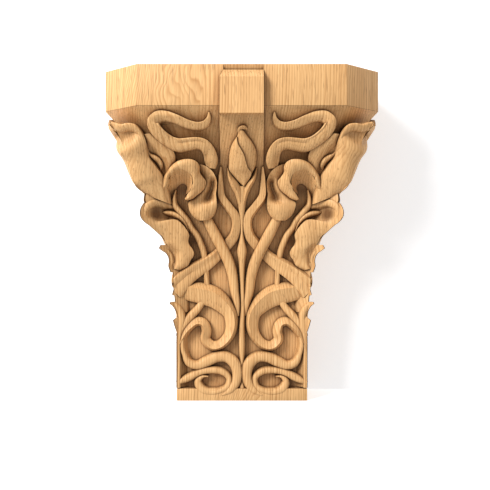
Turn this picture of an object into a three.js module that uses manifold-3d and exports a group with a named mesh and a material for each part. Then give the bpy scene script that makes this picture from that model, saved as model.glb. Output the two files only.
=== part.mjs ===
// A carved wooden capital block: an abacus with cut corners on a flared bell,
// with irises and whiplash ribbons in relief. It is carved from one block and has
// a flat back, so it stands against a wall or crowns a pilaster.
// Millimetres, +Z up, front towards -Y. The shapes are worked out with the wall plane at
// Y = 0, and the finished block is then set with its origin at the middle of its underside.

import * as THREE from 'three';
import { mergeGeometries, mergeVertices } from 'three/addons/utils/BufferGeometryUtils.js';
import Module from 'manifold-3d';

const wasm = await Module();
wasm.setup();

// Block sizes
const HEIGHT = 351;
const ABACUS_HALF = 142.8;
const ABACUS_HEIGHT = 41.8;
const CORNER_CUT = 37.5;
const BASE_HALF = 71.2;
const BASE_HEIGHT = 13.2;

// Bell ground, behind the carving
const GROUND_SETBACK = 10.2;
const FLARE_START = 120;
const FLARE_POWER = 2.2;
const BELL_RINGS = 9;

// Block on the middle of the abacus, and the raised strip below it
const TAB_HALF = 21.9;
const TAB_BOTTOM = 300.5;
const TAB_TOP = 336.4;
const TAB_CAP_TOP = 345.2;
const TAB_CAP_HALF = 18.5;
const TAB_OUT = 9.2;
const STRIP_HALF = 22.5;
const STRIP_BOTTOM = 246;
const STRIP_LIFT = 5;

// How the carving sits in the ground
const EMBED = 13;
const WEDGE = 1.5;
const CORNER_LAP = 0.8;
const SHOULDER = 0.62;
const BELLY_START = 0.15;
const BELLY_RUN = 0.8;
const WELD = 0.01;
const NEAR = 0.03;

const ABACUS_BOTTOM = HEIGHT - ABACUS_HEIGHT;
const GROUND_HALF = BASE_HALF - GROUND_SETBACK;
const CUT_PLANE = 2 * ABACUS_HALF - CORNER_CUT;
const BELL = {
  groundHalf: GROUND_HALF,
  abacusHalf: ABACUS_HALF,
  setback: GROUND_SETBACK,
  flareStart: FLARE_START,
  top: ABACUS_BOTTOM,
};

// The carving's stops are read from a drawing of it on a bell of these sizes.
const DRAWING = {
  groundHalf: 61,
  abacusHalf: 142.8,
  setback: 10.2,
  flareStart: 120,
  top: 309.2,
};

// Half width of a bell's ground at a height.
function halfWidth(bell, z) {
  const share = Math.max(0, (z - bell.flareStart) / (bell.top - bell.flareStart));
  return bell.groundHalf + (bell.abacusHalf - bell.groundHalf) * share ** FLARE_POWER;
}

function ground(z) {
  return halfWidth(BELL, z);
}

// A point of the drawing on the block's own bell: it spreads as the ground does,
// rises with the bell and stands out as far as the ground is set back.
function fromDrawing(across, z, lift) {
  const height = (z * BELL.top) / DRAWING.top;
  const spread = ground(height) / halfWidth(DRAWING, z);
  return [across * spread, height, (lift * BELL.setback) / DRAWING.setback];
}

// A point of the front face: across from the centre line, up, and out of the ground.
// At the corner it reaches a little past the diagonal plane, into the side's carving.
function onFace(across, z, lift) {
  const out = Math.max(ground(z) + lift, Math.abs(across) - CORNER_LAP);
  return new THREE.Vector3(across, -out, z);
}

// Across plus out on the bell's cut corner, where its half width is half.
// The cut widens upwards with the flare.
function cornerSum(half) {
  const cut = (CORNER_CUT * (half - GROUND_HALF)) / (ABACUS_HALF - GROUND_HALF);
  return 2 * half - cut;
}

// A point under the ground below a point of the carving.
function underFace(across, z) {
  const half = ground(z);
  const deep = Math.min(half, cornerSum(half) - Math.abs(across)) - EMBED;
  const reach = deep + WEDGE;
  return new THREE.Vector3(THREE.MathUtils.clamp(across, -reach, reach), -deep, z);
}

// Snaps vertices to a fine grid, merges those that meet and drops the triangles that collapse.
function welded(geometry) {
  const bare = geometry.clone();
  bare.deleteAttribute('normal');
  bare.deleteAttribute('uv');
  const snap = (place) => Math.sign(place) * Math.round(Math.abs(place) / WELD) * WELD;
  const places = bare.attributes.position.array.map(snap);
  bare.setAttribute('position', new THREE.BufferAttribute(places, 3));
  const merged = mergeVertices(bare, WELD / 2);
  const corners = merged.index.array;
  const kept = [];
  for (let i = 0; i < corners.length; i += 3) {
    const [a, b, c] = corners.slice(i, i + 3);
    if (a !== b && b !== c && c !== a) kept.push(a, b, c);
  }
  merged.setIndex(kept);
  return merged;
}

function toSolid(geometry) {
  const merged = welded(geometry);
  const vertProperties = new Float32Array(merged.attributes.position.array);
  const triVerts = new Uint32Array(merged.index.array);
  const make = () => new wasm.Manifold(new wasm.Mesh({ numProp: 3, vertProperties, triVerts }));
  const solid = make();
  if (solid.volume() > 0) return solid;
  for (let i = 0; i < triVerts.length; i += 3) {
    [triVerts[i + 1], triVerts[i + 2]] = [triVerts[i + 2], triVerts[i + 1]];
  }
  return make();
}

function toGeometry(solid) {
  const mesh = solid.getMesh();
  const geometry = new THREE.BufferGeometry();
  geometry.setAttribute('position', new THREE.BufferAttribute(mesh.vertProperties, 3));
  geometry.setIndex(new THREE.BufferAttribute(mesh.triVerts, 1));
  return geometry;
}

// Bends a unit box over the bell. The box runs 0..1 across, 0 or 1 up and 0..1 along,
// and topPoint(across, along) gives [across, z, lift] of the carved top.
function bentBox(acrossSteps, alongSteps, topPoint) {
  const geometry = new THREE.BoxGeometry(1, 1, 1, acrossSteps, 1, alongSteps);
  const position = geometry.attributes.position;
  for (let i = 0; i < position.count; i += 1) {
    const u = position.getX(i) + 0.5;
    const isTop = position.getY(i) > 0;
    const w = position.getZ(i) + 0.5;
    const [across, z, lift] = topPoint(u, w);
    const point = isTop ? onFace(across, z, lift) : underFace(across, z);
    position.setXYZ(i, point.x, point.y, point.z);
  }
  return toSolid(geometry);
}

// Share of the full lift at a place across a rounded or a bevelled section.
function crown(u, ridge) {
  const side = u < ridge ? u / ridge : (1 - u) / (1 - ridge);
  return SHOULDER + (1 - SHOULDER) * side;
}

// A ribbon of the carving. Its stops are [across, z, width, lift], and ridge is
// the place of its crest, from 0 at one edge to 1 at the other.
function ribbon(stops, { ridge = 0.5 } = {}) {
  const route = new THREE.CatmullRomCurve3(
    stops.map(([across, z]) => new THREE.Vector3(across, z, 0)),
  );
  const shape = new THREE.CatmullRomCurve3(
    stops.map(([, , width, lift], i) => new THREE.Vector3(width, lift, i)),
  );
  const acrossSteps = 2;
  return bentBox(acrossSteps, stops.length - 1, (u, w) => {
    const centre = route.getPoint(w);
    const tangent = route.getTangent(w);
    const size = shape.getPoint(w);
    const place = u === 0.5 ? ridge : u;
    const offset = (place - 0.5) * size.x;
    const across = centre.x - tangent.y * offset;
    const z = centre.y + tangent.x * offset;
    return fromDrawing(across, z, size.y * crown(place, ridge));
  });
}

// A petal between two edges. Each edge's stops are [across, z, lift], and belly is
// what its middle rises over the edges, most of all halfway along.
function petal(leftStops, rightStops, { steps = leftStops.length - 1, belly = 4 } = {}) {
  const edge = (stops) => new THREE.CatmullRomCurve3(stops.map((stop) => new THREE.Vector3(...stop)));
  const left = edge(leftStops);
  const right = edge(rightStops);
  const acrossSteps = 3;
  return bentBox(acrossSteps, steps, (u, w) => {
    const point = left.getPoint(w).lerp(right.getPoint(w), u);
    const roundness = 4 * u * (1 - u);
    const fullness = Math.sin(Math.PI * (BELLY_START + BELLY_RUN * w));
    return fromDrawing(point.x, point.y, point.z + belly * roundness * fullness);
  });
}

function joined(solids) {
  return solids.reduce((whole, solid) => whole.add(solid));
}

function box(fromX, toX, fromY, toY, fromZ, toZ) {
  const geometry = new THREE.BoxGeometry(toX - fromX, toY - fromY, toZ - fromZ);
  geometry.translate((fromX + toX) / 2, (fromY + toY) / 2, (fromZ + toZ) / 2);
  return toSolid(geometry);
}

// Abacus outline, a square with its corners cut off
function abacusPrism(height) {
  const straight = ABACUS_HALF - CORNER_CUT;
  const outline = new THREE.Shape();
  outline.moveTo(ABACUS_HALF, -straight);
  outline.lineTo(ABACUS_HALF, straight);
  outline.lineTo(straight, ABACUS_HALF);
  outline.lineTo(-straight, ABACUS_HALF);
  outline.lineTo(-ABACUS_HALF, straight);
  outline.lineTo(-ABACUS_HALF, -straight);
  outline.lineTo(-straight, -ABACUS_HALF);
  outline.lineTo(straight, -ABACUS_HALF);
  outline.closePath();
  return new THREE.ExtrudeGeometry(outline, { depth: height, bevelEnabled: false });
}

// The bell ground: square below the flare, with cut corners that widen up to the abacus
function bellBlock() {
  const profile = [new THREE.Vector2(0, 0), new THREE.Vector2(GROUND_HALF, 0)];
  for (let i = 0; i <= BELL_RINGS; i += 1) {
    const z = THREE.MathUtils.lerp(FLARE_START, ABACUS_BOTTOM, i / BELL_RINGS);
    profile.push(new THREE.Vector2(ground(z), z));
  }
  profile.push(new THREE.Vector2(0, ABACUS_BOTTOM));
  const sides = 8;
  const bell = new THREE.LatheGeometry(profile, sides);
  bell.rotateX(Math.PI / 2);
  bell.rotateZ(Math.PI / sides);
  const position = bell.attributes.position;
  for (let i = 0; i < position.count; i += 1) {
    const x = position.getX(i);
    const y = position.getY(i);
    const half = Math.hypot(x, y);
    const edge = cornerSum(half) - half;
    const isSide = Math.abs(x) > Math.abs(y);
    position.setX(i, Math.sign(x) * (isSide ? half : edge));
    position.setY(i, Math.sign(y) * (isSide ? edge : half));
  }
  return toSolid(bell);
}

// The plain block behind the carving: base slab, bell ground and abacus
function plainBlock() {
  const base = box(-BASE_HALF, BASE_HALF, -BASE_HALF, BASE_HALF, 0, BASE_HEIGHT);
  const abacus = abacusPrism(ABACUS_HEIGHT);
  abacus.translate(0, 0, ABACUS_BOTTOM);
  return joined([bellBlock(), base, toSolid(abacus)]);
}

// Half of one face's carving, from the centre line to the corner
function halfFace() {
  const sRibbon = ribbon([
    [33, 303, 2, 3],
    [34, 297, 6, 8],
    [39, 291, 8, 10],
    [48, 290, 9, 11],
    [58, 293, 9, 11],
    [70, 297, 10, 8],
    [79, 299, 11, 6.5],
    [87, 297, 12, 8],
    [90, 291, 12, 13],
    [85, 284, 12, 14],
    [75, 276, 11, 14],
    [65, 272, 13, 15],
    [55, 273, 12, 15],
    [45, 274, 11, 15],
    [37, 271, 10, 15],
    [32, 265, 11, 14],
    [33, 257, 10, 12],
    [34, 248, 7, 9],
  ]);

  // Flower at the top of the corner
  const topFlower = petal(
    [
      [128, 287, 8],
      [123, 275, 9],
      [124, 264, 18],
      [119, 256, 18],
      [115, 243, 22],
      [110, 230, 24],
      [99, 222, 18],
    ],
    [
      [112, 290, 8],
      [103, 286, 12],
      [98, 276, 14],
      [97, 262, 15],
      [90, 252, 16],
      [82, 240, 16],
      [76, 213, 15],
    ],
    { steps: 7, belly: 5 },
  );
  const topFlowerBack = petal(
    [
      [92, 283, 10],
      [82, 275, 10],
      [71, 267, 10],
      [69, 259, 10],
      [76, 244, 9],
    ],
    [
      [101, 282, 9],
      [99, 272, 8],
      [95, 261, 7],
      [88, 252, 7],
      [80, 238, 9],
    ],
    { steps: 5, belly: 3 },
  );

  // Flower in the middle of the half face, with an arched upper petal and a cup
  const innerArch = ribbon([
    [82, 225, 3, 11],
    [79, 234, 8, 16],
    [74, 243, 12, 18],
    [65, 247, 18, 20],
    [55, 246, 21, 20],
    [49, 239, 18, 19],
    [47, 231, 18, 17],
    [50, 223, 13, 15],
    [58, 218, 5, 13],
  ], { ridge: 0.35 });
  const innerCup = petal(
    [
      [62, 234, 6],
      [60, 217, 10],
      [56, 209, 11],
      [50, 200, 11],
      [44, 194, 8],
    ],
    [
      [40, 253, 9],
      [27, 238, 10],
      [28, 227, 11],
      [34, 213, 11],
      [33, 196, 9],
    ],
    { steps: 6, belly: 3 },
  );
  const innerCurl = ribbon([
    [44, 198, 9, 14],
    [35, 198, 8, 14],
    [29, 202, 5, 13],
    [27, 208, 2, 11],
  ]);

  // Blade from under the strip to the corner, and the stem that crosses it
  const blade = ribbon([
    [22, 252, 2, 5],
    [23, 233, 7, 8],
    [22, 221, 9, 9],
    [14, 210, 9, 9],
    [7, 200, 10, 9],
    [6, 190, 10, 9],
    [9, 179, 11, 8],
    [18, 168, 12, 7],
    [30, 156, 13, 8],
    [40, 149, 17, 9],
    [50, 143, 20, 10],
    [60, 135, 20, 11],
    [68, 122, 17, 12],
    [71, 107, 6, 11],
  ], { ridge: 0.6 });
  const flowerStem = ribbon([
    [38, 196, 10, 11],
    [30, 182, 11, 12],
    [22, 167, 12, 13],
    [14, 150, 12, 12],
    [10, 135, 11, 11],
    [8, 119, 10, 10],
    [5, 104, 7, 9],
    [4, 92, 3, 6],
  ]);
  const cupStem = ribbon([
    [70, 228, 2, 9],
    [72, 217, 7, 10],
    [65, 206, 7, 10],
    [58, 196, 6, 9],
    [51, 185, 6, 8],
    [45, 172, 7, 7],
    [41, 160, 7, 7],
    [39, 136, 6, 7],
    [40, 115, 7, 7],
    [47, 102, 8, 8],
    [54, 94, 9, 9],
    [61, 86, 6, 9],
  ]);

  // Flower on the middle of the corner
  const cornerLobe = ribbon([
    [104, 208, 12, 22],
    [100, 214, 10, 22],
    [90, 215, 11, 20],
    [79, 210, 10, 15],
    [69, 203, 8, 12],
    [62, 194, 4, 10],
  ]);
  const cornerPetal = petal(
    [
      [105, 206, 28],
      [101, 193, 28],
      [91, 185, 20],
      [83, 175, 14],
      [87, 167, 20],
      [79, 160, 14],
      [78, 148, 14],
      [76, 139, 13],
    ],
    [
      [90, 200, 13],
      [70, 197, 15],
      [60, 189, 15],
      [57, 177, 15],
      [53, 162, 15],
      [54, 150, 14],
      [64, 142, 13],
      [72, 139, 12],
    ],
    { steps: 7, belly: 4 },
  );

  // Body of the corner behind both corner flowers
  const cornerBody = petal(
    [
      [101, 247, 8],
      [99, 232, 8],
      [102, 214, 8],
      [103, 202, 8],
      [86, 186, 8],
      [72, 160, 8],
    ],
    [
      [73, 247, 10],
      [80, 234, 12],
      [74, 216, 11],
      [72, 200, 6],
      [66, 184, 6],
      [62, 158, 6],
    ],
    { belly: 0 },
  );

  // Scrolls of the lower part
  const bigScroll = ribbon([
    [74, 122, 15, 12],
    [66, 119, 19, 12],
    [57, 118, 21, 12],
    [45, 117, 23, 12],
    [32, 113, 23, 11],
    [21, 105, 20, 10.5],
    [13, 95, 16, 10.5],
    [11, 83, 14, 10.5],
    [14, 71, 12, 10.5],
    [23, 61, 11, 10.5],
    [32, 59, 11, 10.5],
    [40, 66, 11, 10.5],
    [39, 76, 11, 10.5],
    [42, 84, 10, 10.5],
    [49, 86, 10, 10.5],
    [57, 81, 10, 10.5],
    [64, 73, 9, 10.2],
    [69, 62, 6, 10.2],
  ], { ridge: 0.3 });
  const lowScroll = ribbon([
    [65, 64, 4, 10],
    [63, 50, 5, 10],
    [58, 41, 9, 10.5],
    [49, 38, 10, 10.5],
    [39, 42, 12, 10.5],
    [28, 47, 12, 10.5],
    [17, 47, 12, 10.5],
    [8, 40, 13, 11],
    [5, 30, 12, 11],
    [7, 19, 11, 11.4],
    [13, 11, 9, 11.4],
    [22, 6, 3, 10.8],
  ]);
  const footScroll = ribbon([
    [71, 19, 5, 10],
    [60, 24, 9, 10],
    [45, 31, 8, 10],
    [32, 33, 8, 10],
    [21, 31, 8, 10],
    [14, 24, 7, 10],
    [16, 15, 7, 10.6],
    [25, 10, 7, 11],
    [35, 9, 8, 11],
    [45, 13, 10, 11],
    [48, 21, 8, 10.4],
    [43, 26, 4, 9.6],
  ]);
  const cornerStem = ribbon([
    [76, 106, 2, 12],
    [69, 101, 8, 11],
    [66, 91, 9, 11],
    [67, 80, 8, 10.5],
    [69, 66, 5, 10.2],
    [69, 40, 5, 10.2],
    [69, 14, 5, 10.2],
  ]);
  const cornerThorn = petal(
    [
      [75, 88, 12],
      [73, 80, 10],
      [71, 74, 10],
    ],
    [
      [70, 92, 10],
      [66, 82, 10],
      [68, 72, 10],
    ],
    { belly: 0 },
  );
  return joined([
    sRibbon, topFlower, topFlowerBack, innerArch, innerCup, innerCurl, blade, flowerStem, cupStem,
    cornerLobe, cornerPetal, cornerBody, bigScroll, lowScroll, footScroll, cornerStem, cornerThorn,
  ]);
}

// Bud, rod and foot on the centre line of the front
function centreStem() {
  const bud = petal(
    [
      [4, 289, 6],
      [-6, 279, 8],
      [-12, 267, 8],
      [-12, 252, 8],
      [-9, 242, 8],
      [1, 231, 6],
    ],
    [
      [6, 287, 6],
      [9, 279, 8],
      [15, 268, 8],
      [16, 257, 8],
      [11, 244, 8],
      [3, 231, 6],
    ],
    { belly: 7 },
  );
  const leftSepal = ribbon([
    [-13, 251, 2, 7],
    [-10, 240, 7, 10],
    [-4, 229, 9, 10],
    [-1, 216, 7, 9],
  ]);
  const rightSepal = ribbon([
    [15, 248, 2, 8],
    [10, 238, 5, 11],
    [3, 226, 6, 11],
    [0, 214, 5, 9],
  ]);
  const rod = ribbon([
    [1, 232, 8, 8],
    [0, 213, 8, 9],
    [0, 198, 5, 8],
    [0, 184, 3, 8],
    [0, 174, 6, 9],
    [0, 163, 11, 10],
    [0, 153, 8, 10],
    [0, 140, 6, 9],
    [1, 100, 5, 9],
    [0, 80, 6, 9],
    [0, 61, 7, 9],
    [0, 43, 5, 8],
    [0, 30, 2, 6],
  ]);
  const foot = ribbon([
    [0, 22, 1, 7],
    [0, 12, 9, 9],
  ]);
  return joined([bud, leftSepal, rightSepal, rod, foot]);
}

// Raised strip under the tab, and the tab with its sloped cap
function tabAndStrip() {
  const strip = bentBox(1, BELL_RINGS, (u, w) => {
    const z = THREE.MathUtils.lerp(STRIP_BOTTOM, ABACUS_BOTTOM, w);
    const fade = Math.min(1, (z - STRIP_BOTTOM) / STRIP_HALF);
    return [(u - 0.5) * 2 * STRIP_HALF, z, STRIP_LIFT * fade];
  });
  const front = -(ABACUS_HALF + TAB_OUT);
  const inside = -(ABACUS_HALF - TAB_OUT);
  const tab = box(-TAB_HALF, TAB_HALF, front, inside, TAB_BOTTOM, TAB_TOP);
  const cap = new THREE.BoxGeometry(1, 1, 1);
  const position = cap.attributes.position;
  for (let i = 0; i < position.count; i += 1) {
    const isTop = position.getZ(i) > 0;
    const half = isTop ? TAB_CAP_HALF : TAB_HALF;
    const outer = isTop ? -ABACUS_HALF : front;
    const y = position.getY(i) < 0 ? outer : inside;
    position.setXYZ(i, 2 * half * position.getX(i), y, isTop ? TAB_CAP_TOP : TAB_TOP);
  }
  return joined([strip, tab, toSolid(cap)]);
}

// The wedge between the centre plane of the front and the diagonal plane of a corner
function sector() {
  const outline = new THREE.Shape();
  outline.moveTo(0, 0);
  outline.lineTo(CUT_PLANE, -CUT_PLANE);
  outline.lineTo(0, -CUT_PLANE);
  outline.closePath();
  return toSolid(new THREE.ExtrudeGeometry(outline, { depth: HEIGHT, bevelEnabled: false }));
}

// Puts the vertices of the two cuts exactly on their planes, so that mirrored copies meet.
function trueOnCuts(geometry) {
  const position = geometry.attributes.position;
  for (let i = 0; i < position.count; i += 1) {
    const x = position.getX(i);
    if (x < NEAR) position.setX(i, 0);
    if (Math.abs(x + position.getY(i)) < NEAR) position.setY(i, -position.getX(i));
  }
  return welded(geometry);
}

// Joins a body to its mirror image across a plane that it ends on.
function doubled(geometry, distance, mirror) {
  const position = geometry.attributes.position;
  const corners = geometry.index.array;
  const point = new THREE.Vector3();
  const onPlane = (i) => distance(point.fromBufferAttribute(position, i)) < WELD / 2;
  const kept = [];
  for (let i = 0; i < corners.length; i += 3) {
    const triangle = corners.slice(i, i + 3);
    if (!triangle.every(onPlane)) kept.push(...triangle);
  }
  const here = geometry.clone();
  here.setIndex(kept);
  const there = geometry.clone().applyMatrix4(mirror);
  there.setIndex([...kept].reverse());
  return welded(mergeGeometries([here, there]));
}

// The whole capital: one carved sector mirrored about a front corner, then about the
// centre plane, so that the sides end on the wall plane
function capital() {
  const wedge = trueOnCuts(toGeometry(plainBlock().add(halfFace()).intersect(sector())));
  const aboutCorner = new THREE.Matrix4().set(0, -1, 0, 0, -1, 0, 0, 0, 0, 0, 1, 0, 0, 0, 0, 1);
  const aboutCentre = new THREE.Matrix4().makeScale(-1, 1, 1);
  const corner = doubled(wedge, (point) => Math.abs(point.x + point.y), aboutCorner);
  const body = doubled(corner, (point) => Math.abs(point.x), aboutCentre);
  return joined([toSolid(body), centreStem(), tabAndStrip()]);
}

const carvedWood = new THREE.MeshStandardMaterial({ color: 0xebc08a, roughness: 0.55, metalness: 0 });

const block = new THREE.Mesh(welded(toGeometry(capital())), carvedWood);
block.name = 'capital_block';
block.position.y = BASE_HALF / 2;
block.geometry.computeVertexNormals();

const group = new THREE.Group();
group.add(block);

export default group;
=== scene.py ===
# A carved wooden wall capital: irises and whiplash ribbons in relief on a flared bell,
# under an abacus with cut corners. Sizes are in millimetres and become metres when placed.

import math

import bmesh
import bpy
from mathutils import Matrix, Vector


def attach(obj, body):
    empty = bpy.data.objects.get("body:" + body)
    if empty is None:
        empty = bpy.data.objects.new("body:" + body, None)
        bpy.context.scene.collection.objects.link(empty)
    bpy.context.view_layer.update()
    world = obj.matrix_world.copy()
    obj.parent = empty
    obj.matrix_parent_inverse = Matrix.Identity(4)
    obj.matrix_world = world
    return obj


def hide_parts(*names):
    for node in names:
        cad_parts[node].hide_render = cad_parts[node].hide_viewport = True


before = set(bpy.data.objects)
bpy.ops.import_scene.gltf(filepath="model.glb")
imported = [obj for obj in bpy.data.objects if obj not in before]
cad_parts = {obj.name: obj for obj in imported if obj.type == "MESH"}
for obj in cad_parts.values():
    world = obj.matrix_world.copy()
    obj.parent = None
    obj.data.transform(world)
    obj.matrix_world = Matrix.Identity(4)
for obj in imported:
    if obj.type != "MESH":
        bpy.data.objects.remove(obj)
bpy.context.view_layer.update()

# The blank.
# One solid block of light oak, bandsawn to a flared bell between a base slab and an
# abacus with cut corners. The carving is cut out of it, down to the bell ground.

MM = 0.001
HEIGHT = 351
ABACUS_HALF = 142.8
ABACUS_BOTTOM = 309.2
CORNER_CUT = 37.5
BASE_HALF = 71.2
BASE_HEIGHT = 13.2
GROUND_HALF = 61
FLARE_START = 120
FLARE_POWER = 2.2
BELL_ROWS = 60
BELL_FACES = 5
EDGE_SOFTNESS = 0.7
EDGE_STEPS = 2
DECIMALS = 7


def ground(z):
    """Half width of the bell ground at a height."""
    share = max(0, (z - FLARE_START) / (ABACUS_BOTTOM - FLARE_START))
    return GROUND_HALF + (ABACUS_HALF - GROUND_HALF) * share ** FLARE_POWER


def new_object(name, bm):
    """Makes an object of a finished bmesh, with its faces pointing out."""
    bmesh.ops.recalc_face_normals(bm, faces=bm.faces)
    mesh = bpy.data.meshes.new(name)
    bm.to_mesh(mesh)
    bm.free()
    made = bpy.data.objects.new(name, mesh)
    bpy.context.scene.collection.objects.link(made)
    return made


def thicken(bm, place_under):
    """Closes a sheet: its copy goes where place_under says, with walls between the two."""

    def spot(vert):
        return tuple(round(c, DECIMALS) for c in vert.co)

    under = {spot(vert): place_under(vert) for vert in bm.verts}
    made = bmesh.ops.extrude_face_region(bm, geom=bm.faces[:], use_keep_orig=True)
    for vert in [item for item in made["geom"] if isinstance(item, bmesh.types.BMVert)]:
        vert.co = under[spot(vert)]


def corner_sum(z):
    """Across plus out on the bell's cut corner, which widens upwards with the flare."""
    cut = CORNER_CUT * (ground(z) - GROUND_HALF) / (ABACUS_HALF - GROUND_HALF)
    return 2 * ground(z) - cut


def bell_block():
    """The bell ground, with cut corners, from the base slab up to the abacus."""
    bm = bmesh.new()
    bmesh.ops.create_grid(bm, x_segments=BELL_FACES, y_segments=BELL_ROWS, size=0.5)
    backs = {}
    bm.verts.index_update()
    for vert in bm.verts:
        z = BASE_HEIGHT / 2 + (vert.co.y + 0.5) * (ABACUS_BOTTOM - BASE_HEIGHT / 2)
        half = ground(z)
        edge = corner_sum(z) - half
        bends = [(-half, 0), (-half, edge), (-edge, half), (edge, half), (half, edge), (half, 0)]
        place = round((vert.co.x + 0.5) * BELL_FACES)
        across, out = bends[place]
        vert.co = Vector((across, -out, z)) * MM
        backs[vert.index] = Vector((half * (2 * place - BELL_FACES) / (BELL_FACES + 1), 0, z)) * MM
    thicken(bm, lambda vert: backs[vert.index])
    return new_object("bell", bm)


def prism(name, outline, bottom, top):
    """A flat outline drawn up between two heights, its edges slightly rounded."""
    bm = bmesh.new()
    verts = [bm.verts.new(Vector((x, y, bottom)) * MM) for x, y in outline]
    face = bm.faces.new(verts)
    made = bmesh.ops.extrude_face_region(bm, geom=[face], use_keep_orig=True)
    raised = [item for item in made["geom"] if isinstance(item, bmesh.types.BMVert)]
    bmesh.ops.translate(bm, verts=raised, vec=Vector((0, 0, top - bottom)) * MM)
    bmesh.ops.recalc_face_normals(bm, faces=bm.faces)
    bmesh.ops.bevel(
        bm, geom=bm.edges[:], offset=EDGE_SOFTNESS * MM, segments=EDGE_STEPS,
        profile=0.5, affect="EDGES", material=-1,
    )
    return new_object(name, bm)


straight = ABACUS_HALF - CORNER_CUT
ABACUS_OUTLINE = [
    (-ABACUS_HALF, 0), (-ABACUS_HALF, -straight), (-straight, -ABACUS_HALF),
    (straight, -ABACUS_HALF), (ABACUS_HALF, -straight), (ABACUS_HALF, 0),
]
BASE_OUTLINE = [(-BASE_HALF, 0), (-BASE_HALF, -BASE_HALF), (BASE_HALF, -BASE_HALF), (BASE_HALF, 0)]
parts = [
    bell_block(),
    prism("abacus", ABACUS_OUTLINE, ABACUS_BOTTOM, HEIGHT),
    prism("base_slab", BASE_OUTLINE, 0, BASE_HEIGHT),
]

# The carving of one half face.
# Stems, ribbons and petals stand 5 to 30 mm out of the bell ground, with soft
# shoulders and crisp feet, as a carver leaves them between gouge and knife.

EMBED = 9
WEDGE = 1.5
CORNER_LAP = 0.8
WITHIN = 0.6
CUT_TOLERANCE = 1e-7
TANGENT_STEP = 0.002


def on_face(across, z, lift):
    """A point of the front face, which reaches just past the corner's diagonal plane."""
    out = max(ground(z) + lift, abs(across) - CORNER_LAP)
    return Vector((across, -min(out, ABACUS_HALF - WITHIN), z)) * MM


def under_face(across, z):
    """A point under the ground, below a point of the carving."""
    deep = min(ground(z) - EMBED, corner_sum(z) - abs(across) - EMBED)
    reach = deep + WEDGE
    return Vector((max(-reach, min(reach, across)), -deep, z)) * MM


def smooth_point(stops, w):
    """Point at share w of a curve through the stops, evenly shared between them."""
    last = len(stops) - 1
    i = min(int(w * last), last - 1)
    t = w * last - i
    four = [stops[max(i - 1, 0)], stops[i], stops[i + 1], stops[min(i + 2, last)]]
    knots = [0.0]
    for a, b in zip(four, four[1:]):
        gap = math.hypot(a[0] - b[0], a[1] - b[1])
        knots.append(knots[-1] + math.sqrt(max(gap, 0.01)))
    s = knots[1] + t * (knots[2] - knots[1])

    def blend(a, b, low, high):
        share = (s - low) / (high - low)
        return [p + (q - p) * share for p, q in zip(a, b)]

    first = [blend(four[k], four[k + 1], knots[k], knots[k + 1]) for k in range(3)]
    second = [blend(first[k], first[k + 1], knots[k], knots[k + 2]) for k in range(2)]
    return blend(second[0], second[1], knots[1], knots[2])


def rounded(edge=0.45, power=2.6):
    """A section like a flattened dome: share of the full lift at a place across."""
    return lambda u, w: edge + (1 - edge) * (1 - abs(2 * u - 1) ** power) ** (1 / power)


ABOUT_CENTRE = Matrix.Scale(-1, 4, Vector((1, 0, 0)))
ABOUT_CORNER = Matrix(((0, -1, 0, 0), (-1, 0, 0, 0), (0, 0, 1, 0), (0, 0, 0, 1)))


def place_round(name, bm):
    """Puts a body of the half face on both halves of the front and on both sides."""
    side = bm.copy()
    bmesh.ops.bisect_plane(
        side, geom=side.verts[:] + side.edges[:] + side.faces[:], dist=CUT_TOLERANCE,
        plane_co=Vector(), plane_no=Vector((-1, 0, 0)), clear_outer=True,
    )
    rim = [edge for edge in side.edges if edge.is_boundary]
    bmesh.ops.holes_fill(side, edges=rim, sides=0)
    bmesh.ops.transform(side, matrix=ABOUT_CORNER, verts=side.verts)
    for half in (bm, side):
        other = half.copy()
        bmesh.ops.transform(other, matrix=ABOUT_CENTRE, verts=other.verts)
        parts.append(new_object(name, half))
        parts.append(new_object(name, other))


def column_share(column, columns):
    """Place across of a column of points. The columns lie closer together near the edges."""
    return 0.5 - 0.5 * math.cos(math.pi * column / columns)


def carve(name, rows, columns, top_point, once=False):
    """A closed body over the bell. top_point(u, w) gives its [across, z, lift]."""
    bm = bmesh.new()
    bmesh.ops.create_grid(bm, x_segments=columns, y_segments=rows, size=0.5)
    under = {}
    bm.verts.index_update()
    for vert in bm.verts:
        u = column_share(min(1, max(0, vert.co.x + 0.5)), 1)
        across, z, lift = top_point(u, min(1, max(0, vert.co.y + 0.5)))
        vert.co = on_face(across, z, lift)
        under[vert.index] = under_face(across, z)
    thicken(bm, lambda vert: under[vert.index])
    if once:
        parts.append(new_object(name, bm))
    else:
        place_round(name, bm)


def ribbon(name, stops, section=rounded(), columns=10, rows_each=5, once=False, widest=math.inf):
    """A stem or ribbon along its [across, z, width, lift] stops, folded in at the widest place."""

    def top_point(u, w):
        across, z, width, lift = smooth_point(stops, w)
        before = smooth_point(stops, max(0, w - TANGENT_STEP))
        after = smooth_point(stops, min(1, w + TANGENT_STEP))
        along = Vector((after[0] - before[0], after[1] - before[1])).normalized()
        offset = (u - 0.5) * width
        place = min(widest, across - along.y * offset)
        return place, z + along.x * offset, lift * section(u, w)

    carve(name, rows_each * (len(stops) - 1), columns, top_point, once)


def petal(name, left, right, relief, columns=14, rows_each=6, once=False):
    """A petal between two edges of [across, z, lift] stops. relief(u, w) is added."""

    def top_point(u, w):
        a = smooth_point(left, w)
        b = smooth_point(right, w)
        across, z, lift = [p + (q - p) * u for p, q in zip(a, b)]
        return across, z, lift + relief(u, w)

    carve(name, rows_each * (len(left) - 1), columns, top_point, once)


def hump(u):
    """1 in the middle, 0 at both edges."""
    return 4 * u * (1 - u)


def bump(x, middle, spread):
    """A smooth hump of height 1."""
    return math.exp(-(((x - middle) / spread) ** 2))


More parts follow.
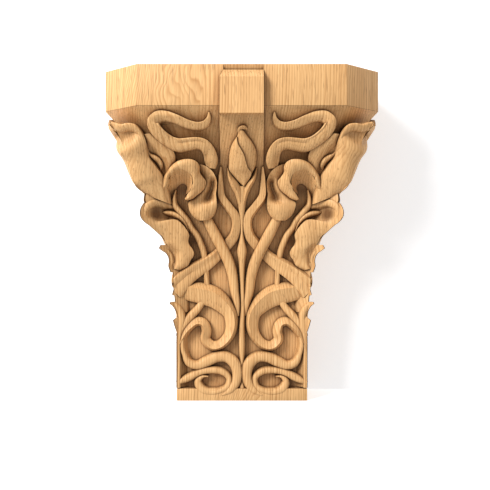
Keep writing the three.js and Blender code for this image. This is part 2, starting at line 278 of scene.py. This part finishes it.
def bevelled(ridge, left_low, right_low):
    """A section with a crest at the place ridge, and two facets that fall to its edges."""

    def section(u, w):
        side = u / ridge if u < ridge else (1 - u) / (1 - ridge)
        low = left_low if u < ridge else right_low
        shoulder = 0.12 * math.exp(-side * 9)
        return low + (1 - low) * side - shoulder

    return section


def fade(w, start, end):
    """Rises softly from 0 at start to 1 at end."""
    share = min(1, max(0, (w - start) / (end - start)))
    return share * share * (3 - 2 * share)


def s_section(u, w):
    """A soft band, creased along its lower run and folded over at its end."""
    crease = 0.16 * bump(u, 0.40, 0.07) * fade(w, 0.58, 0.66) * (1 - fade(w, 0.80, 0.86))
    hollow = 0.30 * bump(u, 0.86, 0.22) * fade(w, 0.84, 0.92)
    double_edge = 0.10 * bump(u, 0.24, 0.06) * fade(w, 0.38, 0.46) * (1 - fade(w, 0.58, 0.66))
    return rounded(0.62, 5)(u, w) - crease - hollow - double_edge


ribbon("s_ribbon", [
    (33, 303, 1.3, 4), (33.2, 297, 4.7, 8), (37, 292, 6.7, 9),
    (44, 290, 7.4, 10), (54, 291.6, 8, 10),
    (65, 296, 8.6, 9), (75, 299, 9.4, 8), (84, 298.5, 11, 8), (89.5, 293, 12, 12),
    (86, 285, 12.5, 14), (75, 276, 12, 14), (65, 272, 13, 15),
    (55, 273, 12, 15), (45, 274, 11, 15),
    (38, 271.5, 12, 15), (33.5, 265, 13.5, 14), (32, 257, 14, 13), (32.5, 250, 9, 10),
], s_section)

petal(
    "top_flower",
    [(128, 287, 8), (123, 275, 9), (124, 264, 18), (119, 256, 18), (115, 243, 22), (110, 230, 24),
     (99, 222, 18)],
    [(112, 290, 8), (103, 286, 12), (98, 276, 14), (97, 262, 15), (90, 252, 16), (82, 240, 16),
     (76, 213, 15)],
    lambda u, w: 5 * hump(u) * fade(w, 0.1, 0.4) - 3 * hump(u) * (1 - fade(w, 0.12, 0.3))
    - 2 * fade(w, 0.80, 0.815) * (1 - fade(u, 0.6, 0.9)),
)
ribbon("top_lip", [
    (133, 293, 4, 5), (128, 290, 7, 8), (122, 288, 8, 11), (115, 289, 8, 12), (109, 288, 8, 13),
    (104, 284, 6, 14), (101, 278, 5, 15), (100, 270, 4, 15), (98, 262, 2, 14),
])
petal(
    "top_flower_back",
    [(92, 283, 10), (82, 275, 10), (71, 267, 10), (69, 259, 10), (76, 244, 9)],
    [(101, 282, 9), (99, 272, 8), (95, 261, 7), (88, 252, 7), (80, 238, 9)],
    lambda u, w: 3 * hump(u) - 3 * bump(u, 0.75, 0.15) * fade(w, 0.2, 0.4),
)
ribbon("back_fold", [
    (99, 269, 2, 9), (95, 263, 4, 12), (90, 260, 6, 13), (86, 257, 6, 13), (84, 252, 5, 12),
    (86, 247, 2, 9),
])

petal(
    "arch_lip",
    [(84, 228, 17), (83, 233, 17), (81, 241, 17), (78, 246, 16), (73, 252, 15), (67, 256, 16),
     (60, 258, 17), (52, 258, 17), (47, 256, 16), (44, 252, 15), (44, 246, 14), (41, 241, 14),
     (38, 237, 13), (39, 231, 14), (43, 226, 14), (47, 223, 15), (52, 219, 16), (58, 217, 17)],
    [(82, 227, 15), (78, 231, 17), (76, 236, 18), (76, 240, 18), (73, 243, 18), (68, 247, 18),
     (63, 248, 19), (57, 246, 19), (53, 243, 19), (51, 238, 19), (51, 234, 19), (53, 231, 19),
     (54, 227, 19), (56, 225, 18), (58, 222, 18), (59, 220, 18), (60, 219, 18), (60, 218, 17)],
    lambda u, w: 3 * hump(u),
    columns=10, rows_each=4,
)
petal(
    "arch_throat",
    [(82, 226, 12), (77, 232, 14), (76, 238, 16), (74, 242, 16), (68, 247, 17), (62, 248, 18),
     (56, 246, 18), (52, 240, 18), (52, 234, 18), (55, 227, 16)],
    [(76, 216, 6), (72, 222, 6), (70, 228, 5), (69, 231, 5), (67, 233, 5), (63, 235, 5),
     (59, 233, 6), (58, 230, 7), (59, 227, 8), (60, 223, 9)],
    lambda u, w: -2.5 * hump(u),
)
petal(
    "cup",
    [(45, 255, 6), (44, 248, 6), (41, 241, 6), (40, 234, 7), (44, 226, 7.5), (51, 220, 9),
     (57, 214.5, 12), (56.5, 208, 12), (53, 201, 12), (47, 196, 11)],
    [(37, 252, 8), (31, 247, 10), (28, 242, 11), (26.5, 237, 12), (26.5, 231, 13), (27.5, 224, 14),
     (27, 217, 14), (27, 210, 13), (30, 202, 12), (36, 196, 11)],
    lambda u, w: 4.5 * hump(u) * fade(w, 0.66, 0.84)
    - 9 * bump(u, 0.66, 0.22) * fade(w, 0.20, 0.34) * (1 - fade(w, 0.60, 0.74)),
    columns=16,
)


def blade_section(u, w):
    """Two strands side by side, the upper one a step higher."""
    groove = 0.20 * bump(u, 0.46, 0.06) * fade(w, 0.55, 0.64)
    step = 0.08 * fade(u, 0.40, 0.50) * fade(w, 0.55, 0.64)
    return bevelled(column_share(7, 10), 0.82, 0.6)(u, w) - groove + step


ribbon("blade", [
    (22, 252, 2, 5), (23, 233, 7, 8), (22, 221, 9, 9), (14, 210, 9, 9), (7, 200, 10, 9),
    (6, 190, 10, 9), (9, 179, 11, 8), (18, 168, 12, 7), (30, 156, 13, 8), (40, 149, 16, 9),
    (50, 143, 18, 11), (60, 136, 20, 13), (68, 129, 23, 14.2), (76, 122, 26, 14.2),
], blade_section, widest=74.2)
ribbon("flower_stem", [
    (38, 198, 10, 11), (30, 182, 12, 12), (22, 167, 12, 13), (14, 150, 12, 12), (10, 135, 11, 11),
    (8, 119, 10, 10), (5, 104, 7, 9), (4, 92, 3, 6),
])
ribbon("cup_stem", [
    (70, 228, 1.5, 10), (72, 220, 4, 12), (72, 213, 6, 13), (69, 208, 7, 13), (64, 202, 7, 13),
    (59, 196, 7, 12), (55, 188, 7, 11), (49, 180, 7, 10), (45, 171, 7, 9), (42, 162, 7, 8),
    (39, 136, 6, 7), (40, 115, 7, 7), (47, 102, 8, 8), (54, 94, 9, 9), (61, 86, 9, 9.5),
    (66, 79, 8, 10), (69, 70, 6, 10),
])

petal(
    "corner_petal",
    [(97, 199, 25), (93, 196, 24), (87, 195, 22), (81, 196, 20.5), (73, 197, 19), (69, 196, 18),
     (64, 192, 17.3), (60, 187, 16.8), (57, 181, 16.4), (58, 174, 15.8), (57, 170, 15.4),
     (54, 166, 15), (52, 161, 14.6), (53, 157, 14), (56, 153, 13), (59, 147, 12), (67, 142, 11)],
    [(102, 201, 29), (101, 196, 29), (98, 191, 28), (95, 188, 26), (91, 184, 23), (89, 182, 21.5),
     (86, 180, 20), (84, 177, 18.5), (83, 175, 17.5), (82, 172, 16.7), (80, 169, 15.8),
     (78, 166, 14.5), (76, 163, 13), (75, 160, 12.5), (75, 156, 12.5),
     (75, 151, 13), (76, 145, 14)],
    lambda u, w: 3 * hump(u) * fade(w, 0.1, 0.5) - 2 * bump(u, 0.85, 0.1) * fade(w, 0.55, 0.7),
    columns=14, rows_each=4,
)
ribbon("corner_hood", [
    (74, 210, 5, 10), (81, 213, 9, 14), (88, 214, 10, 18), (94, 214, 11, 22), (99, 211, 10, 26),
    (102, 206, 9, 28), (102, 201, 9, 29), (99, 196, 8, 27), (94, 191, 5, 22),
])
ribbon("corner_roll", [
    (89, 205.5, 1, 8), (85, 204.7, 3, 12), (79, 204, 5.5, 14), (72, 202.3, 6.5, 14),
    (66, 198.5, 6, 14), (61, 192.5, 4, 12), (58, 184.5, 2, 10),
])
ribbon("corner_edge", [
    (88, 168, 4, 22), (84, 166, 6, 19), (80, 163, 6, 17), (77, 158, 6, 16), (76, 152, 6, 15),
    (77, 147, 5, 15), (75, 141, 5, 14),
])
petal(
    "corner_body",
    [(99, 232, 13), (101, 216, 24), (94, 203, 21), (88, 186, 20), (76, 160, 13)],
    [(80, 234, 6), (74, 216, 8), (70, 203, 5), (66, 184, 6), (62, 158, 5)],
    lambda u, w: -9 * bump(u, 0.35, 0.45) * bump(w, 0.50, 0.12),
    rows_each=8,
)

SCROLL_COLUMNS = 14
ribbon("big_scroll", [
    (74, 123, 15, 9), (66, 121, 19, 10), (57, 119, 21, 11), (45, 117, 23, 12), (32, 113, 23, 12),
    (21, 105, 20, 12), (13, 95, 16, 12), (11, 83, 14, 12), (14, 71, 12, 11.5), (23, 61, 11, 11),
    (32, 59, 11, 11), (40, 66, 11, 11), (39, 76, 11, 11), (42, 84, 10, 11), (49, 86, 10, 11),
    (57, 81, 10, 11), (64, 73, 9, 10.5), (69, 62, 6, 10.2),
], bevelled(column_share(5, SCROLL_COLUMNS), 0.5, 0.6), columns=SCROLL_COLUMNS)
ribbon("low_scroll", [
    (61, 77, 3, 7), (64.5, 70, 5, 9), (65.5, 60, 5.5, 10), (63, 50, 6, 10.3), (58, 41, 9, 10.5),
    (49, 38, 10, 10.5), (39, 42, 12, 10.5), (28, 47, 12, 10.5),
    (17, 47, 12, 10.5), (8, 40, 13, 11),
    (5, 30, 12, 11), (7, 19, 11, 11.4), (13, 11, 9, 11.4), (22, 6, 3, 10.8),
])
ribbon("foot_scroll", [
    (71, 19, 5, 10), (60, 24, 9, 10), (45, 31, 8, 10), (32, 33, 8, 10), (21, 31, 8, 10),
    (14, 24, 7, 10), (16, 15, 7, 10.6), (25, 10, 7, 11), (35, 9, 8, 11), (45, 13, 10, 11),
    (48, 21, 8, 10.4), (43, 26, 4, 9.6), (37, 26, 2, 9),
])
ribbon("corner_stem", [
    (78, 107, 2, 14), (73, 105, 6, 13), (69, 100, 8, 12), (66, 91, 9, 11), (67, 80, 8, 10.5),
    (69, 66, 5, 10.2), (69, 40, 5, 10.2), (69, 14, 5, 10.2),
])
petal(
    "corner_thorn",
    [(75, 88, 12), (73, 80, 10), (71, 74, 10)],
    [(70, 92, 10), (66, 82, 10), (68, 72, 10)],
    lambda u, w: 0,
)
petal(
    "corner_web",
    [(74.5, 150, 13.5), (74.2, 137, 13.8), (74, 124, 13.6), (72.5, 113, 12.4), (71, 96, 11)],
    [(60, 150, 6), (60, 137, 6), (60, 124, 5), (60, 113, 4), (60, 96, 4)],
    lambda u, w: 0,
)

# The centre line.
# A bud on a long rod rises up the middle of the front, under a small square block
# that projects from the abacus.

TAB_HALF = 21.9
TAB_BOTTOM = 300.5
TAB_TOP = 336.4
TAB_CAP_TOP = 345.2
TAB_CAP_LEFT = 18.5
TAB_OUT = 9.2
STRIP_HALF = 22.5
STRIP_BOTTOM = 246
STRIP_LIFT = 5


petal(
    "bud",
    [(-3, 286, 7), (-5, 280, 8), (-8, 276, 8), (-11, 270, 8), (-12.6, 263, 8), (-13, 256, 8),
     (-13, 249, 7.5), (-8, 242, 7), (2, 232, 6)],
    [(2, 286, 7), (6.7, 280, 7.5), (11, 274.6, 8), (14.6, 267.5, 8), (15.3, 259.5, 8),
     (14, 252, 8), (10.5, 244.7, 7.5), (4.6, 236.4, 7), (2.4, 232, 6)],
    lambda u, w: 6.5 * math.sqrt(max(0, hump(u))) * math.sin(math.pi * min(1, 0.15 + 0.85 * w)),
    once=True,
)
petal(
    "bud_sheath",
    [(-5.2, 280, 8.5), (-8.4, 276, 8.5), (-11.4, 269.9, 8.5), (-12.9, 262.7, 8.5),
     (-13.3, 256.2, 8.5), (-13.4, 248.9, 8), (-8.2, 242.1, 7.5), (1.5, 232, 7)],
    [(-4.7, 279.5, 11), (-3.9, 273.2, 15), (-0.9, 267.6, 17), (2, 262.5, 17.5), (4, 256, 17.3),
     (6.5, 249.3, 15.5), (10.2, 244.6, 11.5), (2.5, 232, 8)],
    lambda u, w: 3 * hump(u) * (1 - 0.4 * w),
    once=True,
)
ribbon("bud_tip", [
    (-2.5, 284, 3, 9), (-2.6, 287, 3.5, 11), (0, 288.6, 4, 12), (3.4, 288.6, 3.6, 11.5),
    (5.4, 287, 2, 9.5),
], once=True)
ribbon("left_sepal", [
    (-14.5, 250.5, 1.5, 8), (-12, 241.5, 6, 10.5), (-7.5, 233.5, 9, 12), (-3, 225, 9, 11),
    (-1, 214, 7, 9),
], bevelled(column_share(4, 10), 0.7, 0.6), once=True)
ribbon("right_sepal", [
    (15.2, 250.5, 1.5, 8.5), (12.4, 240.5, 5, 11.5), (7.4, 233, 6.5, 12.5), (3.5, 225, 7, 11.5),
    (1, 213, 5.5, 9),
], bevelled(column_share(6, 10), 0.6, 0.7), once=True)
ribbon("rod", [
    (1, 232, 8, 8), (0, 213, 8, 9), (0, 198, 5, 8), (0, 184, 3, 8),
    (0, 174, 6, 9), (0, 163, 11, 10),
    (0, 153, 8, 10), (0, 140, 6, 9), (1, 100, 5, 9), (0, 80, 6, 9), (0, 61, 7, 9), (0, 43, 5, 8),
    (0, 30, 2, 6),
], once=True)
ribbon("foot", [(0, 22, 1, 7), (0, 12, 9, 9)], once=True)


def strip_point(u, w):
    """The raised strip under the block, which fades out at its foot."""
    z = STRIP_BOTTOM + w * (ABACUS_BOTTOM - STRIP_BOTTOM)
    rise = min(1, (z - STRIP_BOTTOM) / STRIP_HALF)
    return (2 * u - 1) * STRIP_HALF, z, STRIP_LIFT * rise


carve("strip", 30, 6, strip_point, once=True)


def tab_block():
    """The block on the abacus, with its sloped cap."""
    front = -(ABACUS_HALF + TAB_OUT)
    inside = -(ABACUS_HALF - TAB_OUT)
    bm = bmesh.new()
    bmesh.ops.create_cube(bm, size=1)
    for vert in bm.verts:
        z = TAB_TOP if vert.co.z > 0 else TAB_BOTTOM
        y = front if vert.co.y < 0 else inside
        vert.co = Vector((2 * TAB_HALF * vert.co.x, y, z)) * MM
    top = [face for face in bm.faces if all(v.co.z > (TAB_TOP - 1) * MM for v in face.verts)]
    made = bmesh.ops.extrude_face_region(bm, geom=top, use_keep_orig=False)
    bmesh.ops.delete(bm, geom=top, context="FACES_ONLY")
    for vert in [item for item in made["geom"] if isinstance(item, bmesh.types.BMVert)]:
        vert.co.z = TAB_CAP_TOP * MM
        vert.co.x = (TAB_HALF if vert.co.x > 0 else -TAB_CAP_LEFT) * MM
        vert.co.y = max(vert.co.y, -ABACUS_HALF * MM)
    bmesh.ops.recalc_face_normals(bm, faces=bm.faces)
    return new_object("tab", bm)


parts.append(tab_block())

UNDERCUT = 2.2
OVER = 1.2


def undercut_wedge():
    """The wedge cut out of the abacus above the cap, which leaves a face that looks down."""
    slope = UNDERCUT / (HEIGHT - TAB_CAP_TOP)
    bm = bmesh.new()
    bmesh.ops.create_cube(bm, size=1)
    for vert in bm.verts:
        x = TAB_HALF if vert.co.x > 0 else -TAB_CAP_LEFT
        z = HEIGHT + OVER if vert.co.z > 0 else TAB_CAP_TOP
        y = -ABACUS_HALF - OVER - UNDERCUT
        if vert.co.y > 0:
            y = -ABACUS_HALF + slope * (HEIGHT - z)
        vert.co = Vector((x, y, z)) * MM
    return new_object("undercut", bm)


# Joining up.
# The bodies become one block, moved so that its origin is the middle of its underside.


def joined(name, operation, base, others):
    """The body left when other closed bodies are added to a base, or cut from it."""
    rest = bpy.data.collections.new(name + "_parts")
    bpy.context.scene.collection.children.link(rest)
    for body in others:
        rest.objects.link(body)
    join = base.modifiers.new("join", "BOOLEAN")
    join.operation = operation
    join.solver = "MANIFOLD"
    join.operand_type = "COLLECTION"
    join.collection = rest
    graph = bpy.context.evaluated_depsgraph_get()
    mesh = bpy.data.meshes.new_from_object(base.evaluated_get(graph), depsgraph=graph)
    made = bpy.data.objects.new(name, mesh)
    bpy.context.scene.collection.objects.link(made)
    for body in [base] + others:
        bpy.data.meshes.remove(body.data)
    bpy.data.collections.remove(rest)
    return made


solid = joined("solid", "UNION", parts[0], parts[1:])
block = joined("capital_block_carved", "DIFFERENCE", solid, [undercut_wedge()])
bm = bmesh.new()
bm.from_mesh(block.data)
bmesh.ops.translate(bm, verts=bm.verts, vec=Vector((0, BASE_HALF / 2, 0)) * MM)
bm.to_mesh(block.data)
bm.free()
SHARP_ANGLE = 34
block.data.shade_smooth()
block.data.set_sharp_from_angle(angle=math.radians(SHARP_ANGLE))
print("block triangles", sum(len(p.vertices) - 2 for p in block.data.polygons))


# The wood.
# Light oak in upright staves glued side by side. Each stave shows its own growth rings,
# fine upright streaks and open pores. Painted shade darkens the feet of the carving and the
# hollows of the flowers.


def link(tree, start, end):
    tree.links.new(start, end)


def math_node(tree, operation, a, b=0.0, clamp=False):
    """One calculation on two values, which are sockets or numbers."""
    node = tree.nodes.new("ShaderNodeMath")
    node.operation = operation
    node.use_clamp = clamp
    for socket, value in zip(node.inputs, (a, b)):
        if isinstance(value, bpy.types.NodeSocket):
            link(tree, value, socket)
        else:
            socket.default_value = value
    return node.outputs[0]


def stretched_noise(tree, vector, scale, detail=2.0, roughness=0.5):
    """Noise whose grains are 1/scale metres long on each axis."""
    mapping = tree.nodes.new("ShaderNodeMapping")
    mapping.inputs["Scale"].default_value = scale
    link(tree, vector, mapping.inputs["Vector"])
    noise = tree.nodes.new("ShaderNodeTexNoise")
    noise.inputs["Scale"].default_value = 1
    noise.inputs["Detail"].default_value = detail
    noise.inputs["Roughness"].default_value = roughness
    link(tree, mapping.outputs["Vector"], noise.inputs["Vector"])
    return noise.outputs["Fac"]


def remap(tree, value, low, high, to_low=0.0, to_high=1.0):
    """Stretches the span low..high of a value to to_low..to_high."""
    node = tree.nodes.new("ShaderNodeMapRange")
    node.inputs["From Min"].default_value = low
    node.inputs["From Max"].default_value = high
    node.inputs["To Min"].default_value = to_low
    node.inputs["To Max"].default_value = to_high
    link(tree, value, node.inputs["Value"])
    return node.outputs["Result"]


STAVE_WIDTH = 0.061
STAVE_SHIFT = 0.028
RING_STEP = 0.0030
DEPTH_SHARE = 0.12
SIDEWAYS = 0.78
WAVE_SHIFT = 0.026
UNEVEN_SHIFT = 0.0045
ARC_SHIFT = 0.030
RANDOM_SHIFT = 0.013


def oak_grain():
    """Node group: darkness of the growth rings, streaks and pores, and tone of the stave."""
    tree = bpy.data.node_groups.new("oak_grain", "ShaderNodeTree")
    face = tree.interface
    face.new_socket("Vector", in_out="INPUT", socket_type="NodeSocketVector")
    for name in ("Rings", "Streaks", "Pores", "Stave"):
        face.new_socket(name, in_out="OUTPUT", socket_type="NodeSocketFloat")
    inside = tree.nodes.new("NodeGroupInput").outputs["Vector"]
    outside = tree.nodes.new("NodeGroupOutput")
    apart = tree.nodes.new("ShaderNodeSeparateXYZ")
    link(tree, inside, apart.inputs[0])
    x, y, z = apart.outputs

    facing = tree.nodes.new("ShaderNodeSeparateXYZ")
    link(tree, tree.nodes.new("ShaderNodeNewGeometry").outputs["Normal"], facing.inputs[0])
    sideways = math_node(tree, "ABSOLUTE", facing.outputs[0])
    turned = math_node(tree, "GREATER_THAN", sideways, SIDEWAYS)
    swap = math_node(tree, "MULTIPLY", turned, math_node(tree, "SUBTRACT", y, x))
    across = math_node(tree, "ADD", x, swap)
    depth = math_node(tree, "SUBTRACT", y, swap)
    upright = tree.nodes.new("ShaderNodeCombineXYZ")
    for value, socket in zip((across, depth, z), upright.inputs):
        link(tree, value, socket)
    inside = upright.outputs[0]

    along_row = math_node(tree, "ADD", across, STAVE_SHIFT)
    number = math_node(tree, "FLOOR", math_node(tree, "DIVIDE", along_row, STAVE_WIDTH))
    random = tree.nodes.new("ShaderNodeTexWhiteNoise")
    random.noise_dimensions = "1D"
    link(tree, number, random.inputs["W"])
    stave = random.outputs["Value"]

    wave = stretched_noise(tree, inside, (9, 3, 4), 2)
    arcs = stretched_noise(tree, inside, (36, 6, 20), 2)
    flat_sawn = remap(tree, stretched_noise(tree, inside, (9, 2, 5), 1), 0.50, 0.66)
    place = math_node(tree, "ADD", across, math_node(tree, "MULTIPLY", depth, DEPTH_SHARE))
    place = math_node(tree, "ADD", place, math_node(tree, "MULTIPLY", wave, WAVE_SHIFT))
    uneven = stretched_noise(tree, inside, (120, 10, 2), 1)
    place = math_node(tree, "ADD", place, math_node(tree, "MULTIPLY", uneven, UNEVEN_SHIFT))
    arcs = math_node(tree, "MULTIPLY", math_node(tree, "MULTIPLY", arcs, flat_sawn), ARC_SHIFT)
    place = math_node(tree, "ADD", math_node(tree, "ADD", place, arcs),
                      math_node(tree, "MULTIPLY", stave, RANDOM_SHIFT))
    phase = math_node(tree, "FRACT", math_node(tree, "DIVIDE", place, RING_STEP))
    rise = remap(tree, phase, 0.0, 0.80)
    fall = remap(tree, phase, 0.86, 1.0, 1.0, 0.0)
    rings = math_node(tree, "MULTIPLY", math_node(tree, "POWER", rise, 2.4), fall, clamp=True)
    strength = remap(tree, stretched_noise(tree, inside, (40, 8, 6), 2), 0.3, 0.7, 0.35, 1.0)
    rings = math_node(tree, "MULTIPLY", rings, strength)

    fine = stretched_noise(tree, inside, (700, 70, 8), 3, 0.62)
    broad = stretched_noise(tree, inside, (170, 30, 3.0), 2)
    streaks = math_node(tree, "ADD", remap(tree, fine, 0.36, 0.66, 0.0, 0.62),
                        remap(tree, broad, 0.34, 0.66, 0.0, 0.38), clamp=True)
    speckle = stretched_noise(tree, inside, (1300, 500, 60), 1)
    pores = remap(tree, speckle, 0.60, 0.70)

    made = {"Rings": rings, "Streaks": streaks, "Pores": pores, "Stave": stave}
    for name, value in made.items():
        link(tree, value, outside.inputs[name])
    return tree


def mixed(tree, share, base, other, blend="MIX"):
    """Mixes two colours; each is a socket or a colour."""
    node = tree.nodes.new("ShaderNodeMix")
    node.data_type = "RGBA"
    node.blend_type = blend
    sockets = {"Factor": node.inputs[0], "A": node.inputs[6], "B": node.inputs[7]}
    for name, value in (("Factor", share), ("A", base), ("B", other)):
        if isinstance(value, bpy.types.NodeSocket):
            link(tree, value, sockets[name])
        else:
            sockets[name].default_value = value
    return node.outputs[2]


PALE = (0.930, 0.570, 0.255, 1)
TAWNY = (0.540, 0.255, 0.085, 1)
STREAK = (0.500, 0.240, 0.080, 1)
PORE = (0.300, 0.140, 0.050, 1)
# The dark brown of the painted shade in crevices and hollows
PAINTED_SHADE = (0.110, 0.040, 0.011, 1)
RING_STRENGTH = 0.90
STREAK_STRENGTH = 0.52
PORE_STRENGTH = 0.60
STAVE_STRENGTH = 0.16
GLOSS = 0.25
ROUGHEST = 0.60
SMOOTHEST = 0.46

# Painted shade in the feet of the carving, darker where the surface closes in: reach, openness
# from and to, and strength
PAINTED_CREVICE_SHADE = [(0.0030, 0.35, 0.85, 0.85), (0.0130, 0.30, 0.95, 0.62)]

# Painted shade in the hollows of the flowers: across, out, height, radius and strength
SHADE_CORE = 0.35
PAINTED_THROAT_SHADE = [
    (91, 92, 203, 11, 0.62), (64, 89, 227, 12, 0.62), (33, 86, 222, 9, 0.55),
    (53, 69, 173, 7, 0.60),
]

wood = bpy.data.materials.new("light_oak")
wood.use_nodes = True
tree = wood.node_tree
shader = tree.nodes["Principled BSDF"]
place = tree.nodes.new("ShaderNodeTexCoord").outputs["Object"]
grain = tree.nodes.new("ShaderNodeGroup")
grain.node_tree = oak_grain()
link(tree, place, grain.inputs["Vector"])
rings, streaks, pores, stave = [grain.outputs[n] for n in ("Rings", "Streaks", "Pores", "Stave")]

colour = mixed(tree, math_node(tree, "MULTIPLY", rings, RING_STRENGTH), PALE, TAWNY)
colour = mixed(tree, math_node(tree, "MULTIPLY", streaks, STREAK_STRENGTH), colour, STREAK)
colour = mixed(tree, math_node(tree, "MULTIPLY", pores, PORE_STRENGTH), colour, PORE)
tone = remap(tree, stave, 0.0, 1.0, 0.0, STAVE_STRENGTH)
colour = mixed(tree, tone, colour, TAWNY)

# Painted shade: the colour turns dark brown where ambient occlusion finds the carving closed in
for reach, low, high, strength in PAINTED_CREVICE_SHADE:
    closed = tree.nodes.new("ShaderNodeAmbientOcclusion")
    closed.inputs["Distance"].default_value = reach
    closed.samples = 8
    closed.only_local = True
    crevice_shade = remap(tree, closed.outputs["AO"], low, high, strength, 0.0)
    colour = mixed(tree, crevice_shade, colour, PAINTED_SHADE)

apart = tree.nodes.new("ShaderNodeSeparateXYZ")
link(tree, place, apart.inputs[0])
either_half = tree.nodes.new("ShaderNodeCombineXYZ")
link(tree, math_node(tree, "ABSOLUTE", apart.outputs[0]), either_half.inputs[0])
link(tree, apart.outputs[1], either_half.inputs[1])
link(tree, apart.outputs[2], either_half.inputs[2])
# Painted shade in the throats of the flowers, on both halves of the front and on both sides
for across, out, z, radius, strength in PAINTED_THROAT_SHADE:
    for x, y in [(across, -out), (out, -across)]:
        gap = tree.nodes.new("ShaderNodeVectorMath")
        gap.operation = "DISTANCE"
        link(tree, either_half.outputs[0], gap.inputs[0])
        gap.inputs[1].default_value = Vector((x, y + BASE_HALF / 2, z)) * MM
        far = gap.outputs["Value"]
        throat_shade = remap(tree, far, SHADE_CORE * radius * MM, radius * MM, strength, 0.0)
        colour = mixed(tree, throat_shade, colour, PAINTED_SHADE)
link(tree, colour, shader.inputs["Base Color"])
link(tree, remap(tree, streaks, 0.0, 1.0, SMOOTHEST, ROUGHEST), shader.inputs["Roughness"])
shader.inputs["Specular IOR Level"].default_value = GLOSS

relief = math_node(tree, "ADD", math_node(tree, "MULTIPLY", streaks, -0.5),
                   math_node(tree, "MULTIPLY", pores, -0.8))
bump_node = tree.nodes.new("ShaderNodeBump")
bump_node.inputs["Strength"].default_value = 0.35
bump_node.inputs["Distance"].default_value = 0.0003
link(tree, relief, bump_node.inputs["Height"])
link(tree, bump_node.outputs["Normal"], shader.inputs["Normal"])

block.data.materials.clear()
block.data.materials.append(wood)
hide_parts("capital_block")
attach(block, "root")

# The studio.
# A white wall just behind the capital, a white floor under it, and soft light from the
# upper left. Both are clear from behind, so that the back of the capital can be seen.

WALL_BEHIND = 0.2
WALL_MIDDLE = 0.17
ROOM_SIZE = 3
WHITE_GLOW = 0.47
KEY_PLACE = (-1.34, -1.52, 1.26)
KEY_TARGET = (0, -0.05, 0.20)
KEY_SIZE = 0.80
KEY_POWER = 52
AMBIENT = 0.55
wall_y = (BASE_HALF / 2 + WALL_BEHIND) * MM
bm = bmesh.new()
bmesh.ops.create_grid(bm, x_segments=1, y_segments=1, size=ROOM_SIZE)
upright = Matrix.Rotation(math.radians(90), 3, "X")
bmesh.ops.rotate(bm, verts=bm.verts, cent=Vector(), matrix=upright)
bmesh.ops.translate(bm, verts=bm.verts, vec=Vector((0, wall_y, WALL_MIDDLE)))
wall = new_object("wall", bm)


def white_paint(name, glow, only_seen):
    """White paint, clear from behind. With only_seen it throws no light on the capital."""
    material = bpy.data.materials.new(name)
    material.use_nodes = True
    tree = material.node_tree
    paint = tree.nodes["Principled BSDF"]
    paint.inputs["Base Color"].default_value = (0.80, 0.80, 0.81, 1)
    paint.inputs["Emission Color"].default_value = (1, 1, 1, 1)
    paint.inputs["Emission Strength"].default_value = glow
    clear = tree.nodes.new("ShaderNodeBsdfTransparent").outputs[0]
    from_behind = tree.nodes.new("ShaderNodeNewGeometry").outputs["Backfacing"]
    choice = tree.nodes.new("ShaderNodeMixShader")
    link(tree, from_behind, choice.inputs[0])
    link(tree, paint.outputs[0], choice.inputs[1])
    link(tree, clear, choice.inputs[2])
    surface = choice.outputs[0]
    if only_seen:
        seen = tree.nodes.new("ShaderNodeLightPath").outputs["Is Camera Ray"]
        choice = tree.nodes.new("ShaderNodeMixShader")
        link(tree, seen, choice.inputs[0])
        link(tree, clear, choice.inputs[1])
        link(tree, surface, choice.inputs[2])
        surface = choice.outputs[0]
    link(tree, surface, tree.nodes["Material Output"].inputs["Surface"])
    return material


wall.data.materials.append(white_paint("white_wall", WHITE_GLOW, False))

bm = bmesh.new()
bmesh.ops.create_grid(bm, x_segments=1, y_segments=1, size=ROOM_SIZE)
bmesh.ops.translate(bm, verts=bm.verts, vec=Vector((0, wall_y - ROOM_SIZE, 0)))
floor = new_object("floor", bm)
floor.data.materials.append(white_paint("white_floor", WHITE_GLOW, True))


def area_light(name, place, target, size, power):
    """A soft square light."""
    data = bpy.data.lights.new(name, "AREA")
    data.size = size
    data.energy = power
    lamp = bpy.data.objects.new(name, data)
    lamp.location = place
    lamp.rotation_euler = (Vector(target) - Vector(place)).to_track_quat("-Z", "Y").to_euler()
    bpy.context.scene.collection.objects.link(lamp)


area_light("key", KEY_PLACE, KEY_TARGET, KEY_SIZE, KEY_POWER)

world = bpy.data.worlds.new("studio")
bpy.context.scene.world = world
world.use_nodes = True
sky = world.node_tree.nodes["Background"]
sky.inputs["Color"].default_value = (1, 1, 1, 1)
sky.inputs["Strength"].default_value = AMBIENT
bpy.context.scene.view_settings.view_transform = "Standard"

FOCAL_PIXELS = 798
PHOTO_PIXELS = 490
SENSOR = 36
CAMERA_X = 3.3
CAMERA_Y = -940.8 + BASE_HALF / 2
CAMERA_Z = 169.7
lens = bpy.data.cameras.new("camera")
lens.sensor_width = SENSOR
lens.lens = SENSOR * FOCAL_PIXELS / PHOTO_PIXELS
camera = bpy.data.objects.new("camera", lens)
camera.location = Vector((CAMERA_X, CAMERA_Y, CAMERA_Z)) * MM
camera.rotation_euler = (math.radians(90), 0, 0)
bpy.context.scene.collection.objects.link(camera)
bpy.context.scene.camera = camera
